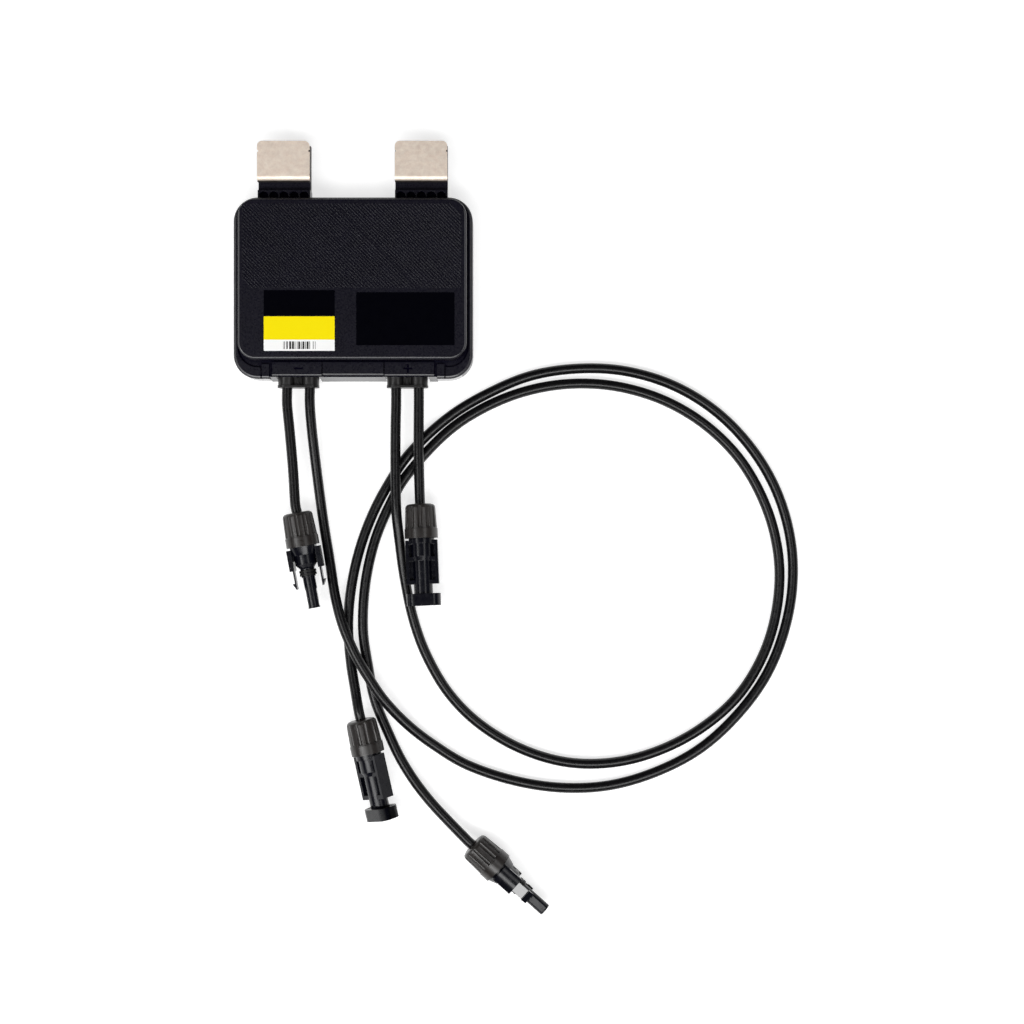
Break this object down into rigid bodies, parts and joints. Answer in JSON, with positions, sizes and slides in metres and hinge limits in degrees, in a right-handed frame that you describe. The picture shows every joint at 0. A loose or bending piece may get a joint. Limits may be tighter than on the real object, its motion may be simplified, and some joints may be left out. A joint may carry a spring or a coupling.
{
  "type": "power optimizer",
  "caption": "Flat solar power optimizer: black housing with ribbed raised panel, steel module-frame clips, cable glands, and short and long leads with plug connectors.",
  "frame": {"origin": "centre of the rear face of the housing", "axes": "+X across the housing towards the plus side, +Y towards the frame clips, +Z out of the front panel"},
  "size_m": [0.3285, 0.4484, 0.0232],
  "materials": {
    "housing_plastic": "satin",
    "back_plastic": "matt",
    "seal_rubber": "matt",
    "clip_steel": "satin",
    "gland_rubber": "matt",
    "label_yellow": "satin print",
    "label_dark": "smooth",
    "board": "satin",
    "spreader_aluminium": "plain",
    "pad": "matt",
    "ferrite": "matt",
    "chip": "matt",
    "ceramic": "matt",
    "shield_steel": "plain",
    "copper": "plain",
    "nut_plastic": "matt",
    "connector_plastic": "satin",
    "contact_metal": "tinned",
    "ring_rubber": "matt",
    "cable_jacket": "satin"
  },
  "bodies": {
    "root": {"front_housing": "housing_plastic", "back_plate": "back_plastic", "housing_seal": "seal_rubber", "frame_clip_left": "clip_steel", "frame_clip_right": "clip_steel", "cable_gland_minus": "gland_rubber", "cable_gland_plus": "gland_rubber", "type_label": "label_yellow", "blank_label_left": "label_dark", "blank_label_right": "label_dark", "circuit_board": "board", "heat_spreader": "spreader_aluminium", "thermal_pad": "pad", "power_inductor": "ferrite", "power_transistors": "chip", "filter_capacitors": "ceramic", "control_chip": "chip", "radio_shield": "shield_steel", "cable_terminals": "copper", "input_minus_nut": "nut_plastic", "input_minus_housing": "connector_plastic", "input_minus_contact": "contact_metal", "input_minus_cable_seal": "seal_rubber", "input_minus_o_rings": "ring_rubber", "output_minus_nut": "nut_plastic", "output_minus_housing": "connector_plastic", "output_minus_contact": "contact_metal", "output_minus_cable_seal": "seal_rubber", "output_plus_nut": "nut_plastic", "output_plus_housing": "connector_plastic", "output_plus_contact": "contact_metal", "output_plus_cable_seal": "seal_rubber", "output_plus_o_rings": "ring_rubber", "input_plus_nut": "nut_plastic", "input_plus_housing": "connector_plastic", "input_plus_contact": "contact_metal", "input_plus_cable_seal": "seal_rubber", "input_minus_cable": "cable_jacket", "output_minus_cable": "cable_jacket", "output_plus_cable": "cable_jacket", "input_plus_cable": "cable_jacket"}
  },
  "joints": []
}
